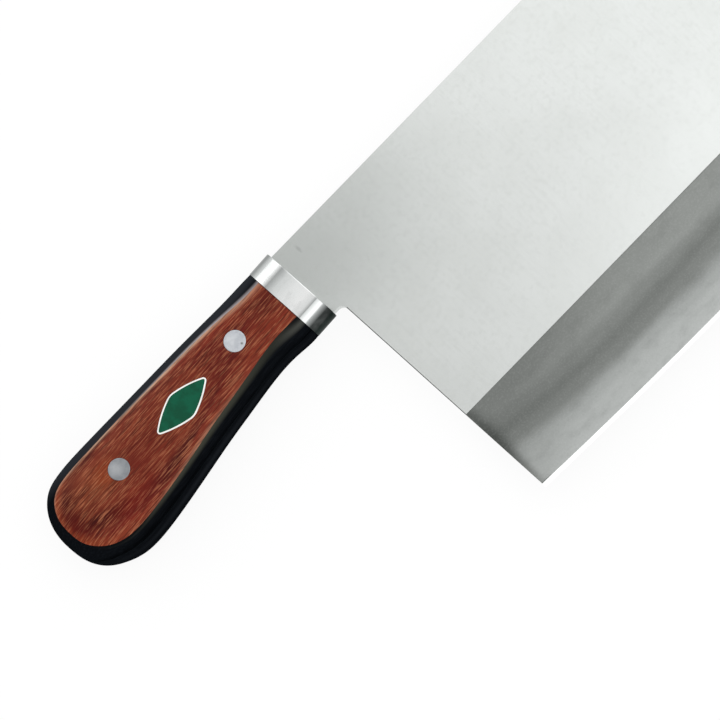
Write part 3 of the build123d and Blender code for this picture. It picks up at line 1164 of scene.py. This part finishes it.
@dataclass
class Label:
    """The lozenge film: a green field in a white border, laid on the front face's crown."""

    length: float = 21.4
    width: float = 9.84
    end_radius: float = 0.95
    corner_radius: float = 5.0
    bow_radius: float = 33.0
    end_steps: int = 6
    bow_steps: int = 14
    place: float = 50.1
    turn: float = 2.0
    border_insets: tuple[float, ...] = (0.0, 0.02, 0.07, 0.47)
    border_lifts: tuple[float, ...] = (0.02, 0.09, 0.115, 0.115)
    field_shares: tuple[float, ...] = (0.8, 0.6, 0.4, 0.2)
    field_lift: float = 0.11
    ray_start: float = 30.0

    def outline(self, inset: float) -> list[Vector]:
        """The lozenge's outline, anticlockwise, in its own millimetres.

        Args:
            inset: How far inside the film's edge the outline runs.

        Returns:
            The points.
        """
        end = Vector((self.length / 2 - self.end_radius, 0))
        corner = Vector((0, self.width / 2 - self.corner_radius))
        to_end = self.bow_radius - self.end_radius
        to_corner = self.bow_radius - self.corner_radius
        apart = (corner - end).length
        run = (to_end**2 - to_corner**2 + apart**2) / (2 * apart)
        rise = math.sqrt(to_end**2 - run**2)
        way = (corner - end).normalized()
        bow = end + way * run + Vector((-way.y, way.x)) * rise
        first = math.atan2(-bow.y, end.x - bow.x)
        last = math.atan2(corner.y - bow.y, -bow.x)
        quarter = []
        for centre, radius, start, stop, count in (
            (end, self.end_radius, 0.0, first, self.end_steps),
            (bow, self.bow_radius, first, last, self.bow_steps),
            (corner, self.corner_radius, last, math.pi / 2, self.end_steps),
        ):
            for step in range(count):
                angle = start + (stop - start) * step / count
                way = Vector((math.cos(angle), math.sin(angle)))
                quarter.append(centre + way * (radius - inset))
        quarter.append(Vector((0, self.width / 2 - inset)))
        half = quarter + [Vector((-point.x, point.y)) for point in reversed(quarter[:-1])]
        return half + [Vector((point.x, -point.y)) for point in reversed(half[1:-1])]

    def build(self) -> bpy.types.Object:
        """Makes the film with its two printed colours.

        Returns:
            The label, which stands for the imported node.
        """
        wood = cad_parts["front_face_wood"]
        ground = BVHTree.FromObject(wood, bpy.context.evaluated_depsgraph_get())
        to_frame = HANDLE.matrix() @ Matrix.Translation((-self.place, 0, 0))
        to_frame = to_frame @ Matrix.Rotation(math.radians(self.turn), 4, "Z")
        rings = list(zip(map(self.outline, self.border_insets), self.border_lifts))
        field = rings[-1][0]
        inner = [[point * share for point in field] for share in self.field_shares]
        rings += [(points, self.field_lift) for points in (*inner, [Vector((0, 0))])]
        body = bmesh.new()
        loops = []
        for points, lift in rings:
            loop = []
            for point in points:
                high = to_frame @ Vector((point.x, point.y, self.ray_start))
                hit = ground.ray_cast(high, Vector((0, 0, -1)))[0]
                loop.append(body.verts.new(hit + Vector((0, 0, lift * MM))))
            loops.append(loop)
        for number, (outer, inner) in enumerate(zip(loops, loops[1:])):
            for step, corner in enumerate(outer):
                after = (step + 1) % len(outer)
                ends = (inner[after], inner[step]) if len(inner) > 1 else (inner[0],)
                face = body.faces.new((corner, outer[after], *ends))
                face.material_index = int(number >= len(self.border_insets) - 1)
                face.smooth = True
        mesh = bpy.data.meshes.new("label_film")
        body.to_mesh(mesh)
        body.free()
        pale = (Grain("#e6e8e4", (3.0, 3.0, 3.0)),)
        for finish in (
            PrintedFilm("white_printed_vinyl", colour="#f4f5f2", coats=pale),
            PrintedFilm("green_printed_vinyl"),
        ):
            mesh.materials.append(finish.material())
        thing = new_object("label_film", mesh)
        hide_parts("label")
        return thing


# Studio


@dataclass
class Lamp:
    """A soft box: a flat lamp of even light that is aimed at the knife."""

    name: str
    place: Triple
    width: float
    height: float
    radiance: float
    aim: Triple = (-0.03, 0.0, 0.01)

    def build(self) -> None:
        """Adds the lamp, with its power worked out from its size and radiance."""
        data = bpy.data.lights.new(self.name, "AREA")
        data.shape = "RECTANGLE"
        data.size, data.size_y = self.width, self.height
        data.energy = self.radiance * math.pi * self.width * self.height
        thing = new_object(self.name, data)
        thing.location = self.place
        thing.rotation_mode = "QUATERNION"
        thing.rotation_quaternion = (Vector(self.aim) - Vector(self.place)).to_track_quat("-Z", "Y")
        thing.visible_camera = False


@dataclass
class Studio:
    """The white table, the soft sky round it, the lamps and the camera."""

    tilt: float = 16.0
    turn: float = 45.8
    target: Triple = (-0.06603, 0.013425, 0.0102)
    distance: float = 3.0
    width: float = 0.2111
    sensor: float = 36.0
    clip: tuple[float, float] = (0.1, 20.0)
    sky_plan: Plan = ((0.0, "#ffffff"), (0.2, "#ffffff"), (0.45, "#e8e8e8"), (1.0, "#e6e6e6"))
    table_share: float = 0.9
    table_reach: float = 4.0
    table_gap: float = 0.0001

    def camera(self) -> None:
        """Adds the camera, tilted off square towards the edge, with the blade up to the right."""
        tilt, turn = math.radians(self.tilt), math.radians(self.turn)
        back = Vector((0, -math.sin(tilt), math.cos(tilt)))
        across = Vector((0, math.cos(tilt), math.sin(tilt)))
        right = math.cos(turn) * Vector((1, 0, 0)) - math.sin(turn) * across
        up = back.cross(right)
        data = bpy.data.cameras.new("camera")
        data.sensor_width = self.sensor
        data.lens = self.sensor * self.distance / self.width
        data.clip_start, data.clip_end = self.clip
        thing = new_object("camera", data)
        turned = Matrix((right, up, back)).transposed().to_4x4()
        thing.matrix_world = Matrix.Translation(Vector(self.target) + back * self.distance) @ turned
        bpy.context.scene.camera = thing

    def sky(self) -> None:
        """Makes the sky: white at the horizon and greyer overhead, where the soft boxes work."""
        sky = bpy.data.worlds.new("studio")
        bpy.context.scene.world = sky
        tree = empty_tree(sky)
        way = add(tree, Kind.COORDINATES).outputs["Generated"]
        height = add(tree, Kind.SPLIT, {0: way}).outputs[2]
        tone = add(tree, Kind.RAMP, {0: height}, self.sky_plan)
        add(tree, Kind.WORLD_OUTPUT, {0: add(tree, Kind.BACKGROUND, {0: tone, 1: 1.0})})

    def table(self) -> None:
        """Adds the table: plain white to camera, metal and glass, but with a faint shadow."""
        mesh = bpy.data.meshes.new("table")
        ways = ((-1, -1), (1, -1), (1, 1), (-1, 1))
        corners = [(x * self.table_reach, y * self.table_reach, -self.table_gap) for x, y in ways]
        mesh.from_pydata(corners, [], [(0, 1, 2, 3)])
        material = bpy.data.materials.new("white_table")
        tree = empty_tree(material)
        rays = add(tree, Kind.LIGHT_PATH).outputs
        seen = rays["Is Camera Ray"]
        for name in ("Is Glossy Ray", "Is Transmission Ray"):
            seen = add(tree, Kind.MATH, {0: seen, 1: rays[name]}, operation="MAXIMUM")
        share = add(tree, Kind.MATH, {0: seen, 1: self.table_share}, operation="MULTIPLY")
        matt = add(tree, Kind.DIFFUSE, {0: "#ffffff"})
        glow = add(tree, Kind.EMISSION, {0: "#ffffff", 1: 1.0})
        mixed = add(tree, Kind.MIX_SHADERS, {0: share, 1: matt, 2: glow})
        add(tree, Kind.MATERIAL_OUTPUT, {0: mixed})
        mesh.materials.append(material)
        new_object("table", mesh)

    def build(self) -> None:
        """Adds camera, sky, table and lamps, and sets the view transform."""
        self.camera()
        self.sky()
        self.table()
        for lamp in (
            Lamp("tip_box", (0.42, 0.14, 0.7), 0.8, 0.8, 0.5),
            Lamp("camera_box", (-0.05, -0.56, 1.0), 1.6, 0.72, 0.75),
            Lamp("spine_box", (0.0, 0.95, 0.7), 1.4, 0.6, 0.7),
        ):
            lamp.build()
        bpy.context.scene.view_settings.view_transform = "Standard"


def main() -> None:
    """Builds and dresses the knife piece by piece, then the studio."""
    logging.basicConfig(level=logging.INFO, format="%(name)s: %(message)s")
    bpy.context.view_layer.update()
    handle = Handle()
    handle.dress()
    for piece in (Blade().build(), *handle.rivets(), Label().build()):
        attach(piece, "root")
        log.info("%s: %d faces", piece.name, len(piece.data.polygons))
    Studio().build()


if __name__ == "__main__":
    main()
